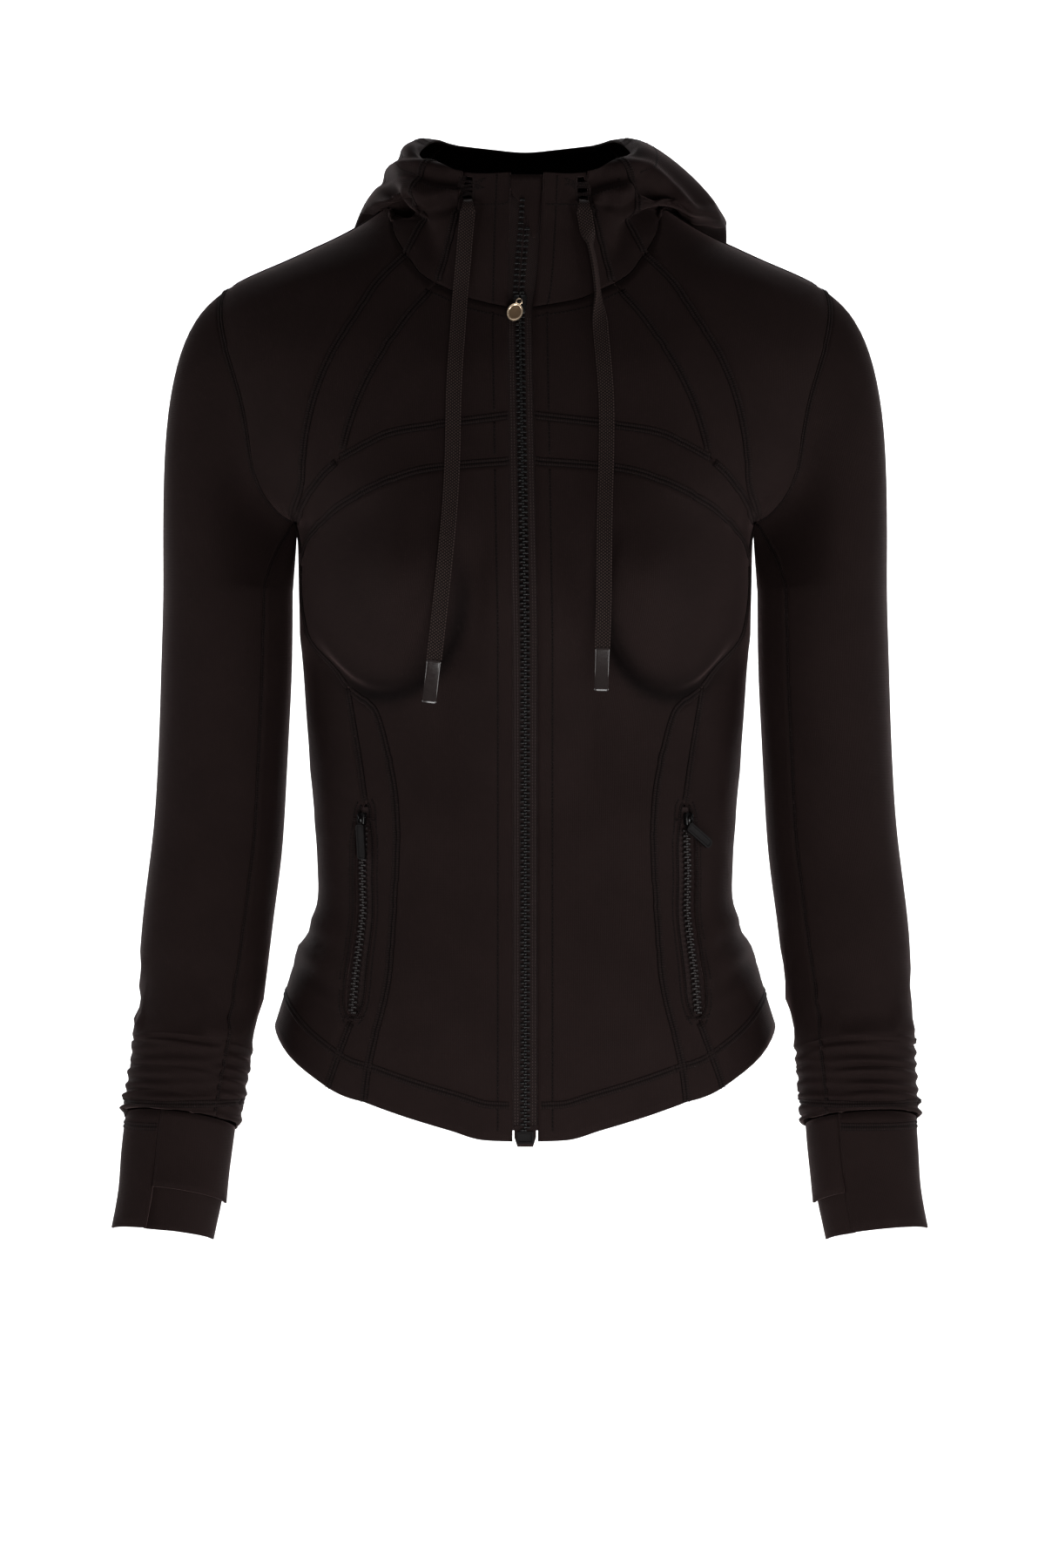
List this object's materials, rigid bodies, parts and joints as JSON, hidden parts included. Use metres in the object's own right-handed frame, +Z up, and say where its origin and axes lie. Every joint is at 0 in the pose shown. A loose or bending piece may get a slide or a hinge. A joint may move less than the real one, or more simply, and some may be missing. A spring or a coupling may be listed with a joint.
{
  "type": "hooded jersey zip jacket",
  "caption": "Fitted hooded jersey jacket in its worn form: full-length zip, lowered hood, drawcords, zipped waist pockets, curved panel seams and fold-over cuffs.",
  "frame": {"origin": "between the shoulders, on the wearer's middle plane, at the height where the neck meets the shoulders; the wearer holds the jacket up there", "axes": "+Z up along the wearer's height, -Y out of the front, +X towards the wearer's left arm"},
  "size_m": [0.5059, 0.2838, 0.6984],
  "materials": {
    "jersey": "matte knitted jersey, black with a faint brown cast",
    "zip_tape": "woven tape, black",
    "zip_teeth": "moulded plastic, black",
    "zip_slider": "gloss black enamel",
    "pull_badge": "pale gold, polished",
    "pull_rubber": "smooth black",
    "drawcord": "flat tubular weave, black",
    "cord_tip": "smoky, glossy"
  },
  "bodies": {
    "jacket": {"chest_panel_left": "jersey", "chest_panel_right": "jersey", "princess_strip_left": "jersey", "princess_strip_right": "jersey", "shoulder_panel_left": "jersey", "shoulder_panel_right": "jersey", "bust_band_left": "jersey", "bust_band_right": "jersey", "front_panel_left": "jersey", "front_panel_right": "jersey", "waist_strip_left": "jersey", "waist_strip_right": "jersey", "side_panel_left": "jersey", "side_panel_right": "jersey", "sleeve_upper_left": "jersey", "sleeve_upper_right": "jersey", "sleeve_under_left": "jersey", "sleeve_under_right": "jersey", "cuff_strip_left": "jersey", "cuff_strip_right": "jersey", "cuff_flap_left": "jersey", "cuff_flap_right": "jersey", "cuff_tip_left": "jersey", "cuff_tip_right": "jersey", "collar_front_left": "jersey", "collar_front_right": "jersey", "hood_gusset_left": "jersey", "hood_gusset_right": "jersey", "hood_side_left": "jersey", "hood_side_right": "jersey", "hood_centre": "jersey", "back": "jersey", "zip_guard": "jersey", "zip_tape_left": "zip_tape", "zip_tape_right": "zip_tape", "pocket_tape_left": "zip_tape", "pocket_tape_right": "zip_tape", "zip_teeth": "zip_teeth", "zip_teeth_open_left": "zip_teeth", "zip_teeth_open_right": "zip_teeth", "zip_box": "zip_teeth", "pocket_teeth_left": "zip_teeth", "pocket_teeth_right": "zip_teeth", "zip_slider": "zip_slider", "pocket_slider_left": "zip_slider", "pocket_slider_right": "zip_slider", "drawcord_left": "drawcord", "drawcord_right": "drawcord", "cord_tip_left": "cord_tip", "cord_tip_right": "cord_tip"},
    "main_pull": {"zip_pull": "pull_badge"},
    "left_pocket_pull": {"pocket_pull_left": "pull_rubber"},
    "right_pocket_pull": {"pocket_pull_right": "pull_rubber"}
  },
  "joints": [
    {"name": "main_pull_hinge", "type": "hinge", "parent": "jacket", "child": "main_pull", "pos_m": [-0.00316, -0.07229, -0.05175], "axis": [-1, 0.0063, 0], "range_deg": [0, 120]},
    {"name": "left_pocket_pull_hinge", "type": "hinge", "parent": "jacket", "child": "left_pocket_pull", "pos_m": [0.10258, -0.06084, -0.37115], "axis": [-0.7988, -0.6004, 0.0375], "range_deg": [0, 120]},
    {"name": "right_pocket_pull_hinge", "type": "hinge", "parent": "jacket", "child": "right_pocket_pull", "pos_m": [-0.10258, -0.06084, -0.37115], "axis": [-0.7988, 0.6004, -0.0375], "range_deg": [0, 120]}
  ]
}
